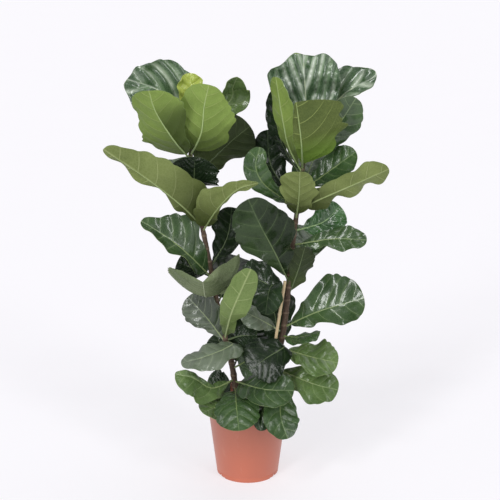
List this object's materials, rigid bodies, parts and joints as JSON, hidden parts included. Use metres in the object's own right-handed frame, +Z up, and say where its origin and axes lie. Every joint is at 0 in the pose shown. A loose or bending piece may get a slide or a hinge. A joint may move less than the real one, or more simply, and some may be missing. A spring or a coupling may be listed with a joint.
{
  "type": "potted fiddle leaf fig",
  "caption": "Upright potted fig plant: two woody stems with broad waved fiddle-shaped leaves, a thin support cane and soil in a tapered round nursery pot.",
  "frame": {"origin": "middle of the pot's base, on the surface the pot stands on", "axes": "+Z up along the plant, -Y the side seen in the picture, +X to its right"},
  "size_m": [0.6284, 0.2997, 0.9992],
  "materials": {
    "pot_plastic": "satin",
    "soil": "matte",
    "bark": "matte",
    "cane": "satin",
    "leaf": "satin",
    "new_leaf": "satin"
  },
  "bodies": {
    "root": {"pot": "pot_plastic", "soil": "soil", "stem_left": "bark", "stem_right": "bark", "cane": "cane", "leaf_crown_back_left": "leaf", "leaf_crown_front_left": "leaf", "leaf_crown_front": "leaf", "leaf_crown_new_leaf": "new_leaf", "leaf_crown_right_curl": "leaf", "leaf_crown_right_dark": "leaf", "leaf_collar_left": "leaf", "leaf_collar_right": "leaf", "leaf_cup_leaf": "leaf", "leaf_shoulder_left": "leaf", "leaf_boat_left": "leaf", "leaf_back_left": "leaf", "leaf_bottom_back_left": "leaf", "leaf_dark_right": "leaf", "leaf_hanging_left": "leaf", "leaf_light_centre": "leaf", "leaf_lower_left_silver": "leaf", "leaf_lower_left_green": "leaf", "leaf_small_left_back": "leaf", "leaf_bottom_centre": "leaf", "leaf_bottom_left_wing": "leaf", "leaf_lower_centre": "leaf", "leaf_centre_round": "leaf", "leaf_centre_right": "leaf", "leaf_under_bottom_centre": "leaf", "leaf_right_crown_back": "leaf", "leaf_right_crown_back_right": "leaf", "leaf_right_crown_side": "leaf", "leaf_right_front_strip": "leaf", "leaf_right_dark_strip": "leaf", "leaf_right_front": "leaf", "leaf_right_front_side": "leaf", "leaf_right_collar": "leaf", "leaf_glossy_left": "leaf", "leaf_between_crowns": "leaf", "leaf_big_left": "leaf", "leaf_vivid_right": "leaf", "leaf_small_right": "leaf", "leaf_right_collar_lobe": "leaf", "leaf_dark_under": "leaf", "leaf_big_right": "leaf", "leaf_sheen_left": "leaf", "leaf_edge_on_right": "leaf", "leaf_lower_right_upper": "leaf", "leaf_lower_right_lower": "leaf", "leaf_bottom_right": "leaf", "leaf_dark_lower_left": "leaf", "leaf_scalloped": "leaf", "leaf_grey_sheen": "leaf", "leaf_rear_left_upper": "leaf", "leaf_rear_left_middle": "leaf", "leaf_rear_left_low": "leaf", "leaf_rear_right_upper": "leaf", "leaf_rear_right_middle": "leaf", "leaf_rear_right_low": "leaf"}
  },
  "joints": []
}
